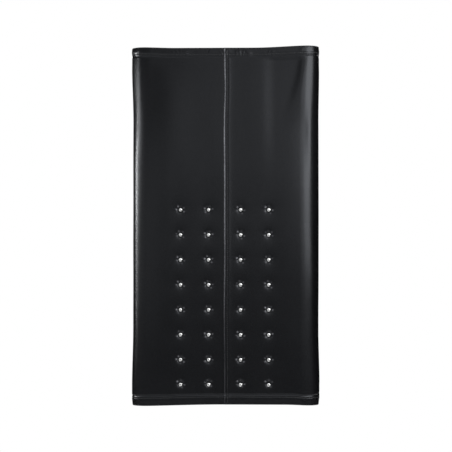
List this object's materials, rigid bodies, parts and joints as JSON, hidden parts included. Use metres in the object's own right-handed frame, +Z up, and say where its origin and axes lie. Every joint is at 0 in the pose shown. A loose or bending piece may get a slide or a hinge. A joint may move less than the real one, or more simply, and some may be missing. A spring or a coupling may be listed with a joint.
{
  "type": "wall punch pad",
  "caption": "Upholstered rectangular striking pad for a wall: vinyl sleeve over foam on a board, hemmed ends, a centre seam and a field of capped rivets on the lower half.",
  "frame": {"origin": "centre of the back, on the plane of the wall", "axes": "+X to the right of someone facing the pad, +Y into the wall, +Z up; the front faces -Y"},
  "size_m": [0.4, 0.11, 0.768],
  "materials": {
    "vinyl": "black leather-grain vinyl, satin to semi-gloss",
    "webbing": "black woven webbing",
    "wadding": "white polyester wadding",
    "face_foam": "grey soft foam",
    "core_foam": "mixed-chip bonded foam",
    "base_foam": "black closed-cell foam",
    "plywood": "birch plywood, matte",
    "rubber_sheet": "black rubber sheet, matte",
    "dust_cloth": "black spun-bonded dust cloth",
    "zinc_steel": "bright zinc-plated steel",
    "nickel": "polished nickel-plated caps"
  },
  "bodies": {
    "root": {"back_board": "plywood", "foam_base": "base_foam", "foam_core": "core_foam", "foam_face": "face_foam", "impact_sheet": "rubber_sheet", "wadding": "wadding", "cover_left": "vinyl", "cover_right": "vinyl", "centre_seam_tape": "webbing", "top_hem_webbing": "webbing", "bottom_hem_webbing": "webbing", "top_end_panel": "vinyl", "bottom_end_panel": "vinyl", "dust_cover": "dust_cloth", "hanger_top_left": "zinc_steel", "hanger_top_right": "zinc_steel", "hanger_bottom_left": "zinc_steel", "hanger_bottom_right": "zinc_steel", "screw_top_left_upper": "zinc_steel", "screw_top_left_lower": "zinc_steel", "screw_top_right_upper": "zinc_steel", "screw_top_right_lower": "zinc_steel", "screw_bottom_left_upper": "zinc_steel", "screw_bottom_left_lower": "zinc_steel", "screw_bottom_right_upper": "zinc_steel", "screw_bottom_right_lower": "zinc_steel", "rivet_r1_c1": "nickel", "rivet_r1_c2": "nickel", "rivet_r1_c3": "nickel", "rivet_r1_c4": "nickel", "rivet_r2_c1": "nickel", "rivet_r2_c2": "nickel", "rivet_r2_c3": "nickel", "rivet_r2_c4": "nickel", "rivet_r3_c1": "nickel", "rivet_r3_c2": "nickel", "rivet_r3_c3": "nickel", "rivet_r3_c4": "nickel", "rivet_r4_c1": "nickel", "rivet_r4_c2": "nickel", "rivet_r4_c3": "nickel", "rivet_r4_c4": "nickel", "rivet_r5_c1": "nickel", "rivet_r5_c2": "nickel", "rivet_r5_c3": "nickel", "rivet_r5_c4": "nickel", "rivet_r6_c1": "nickel", "rivet_r6_c2": "nickel", "rivet_r6_c3": "nickel", "rivet_r6_c4": "nickel", "rivet_r7_c1": "nickel", "rivet_r7_c2": "nickel", "rivet_r7_c3": "nickel", "rivet_r7_c4": "nickel", "rivet_r8_c1": "nickel", "rivet_r8_c2": "nickel", "rivet_r8_c3": "nickel", "rivet_r8_c4": "nickel"}
  },
  "joints": []
}
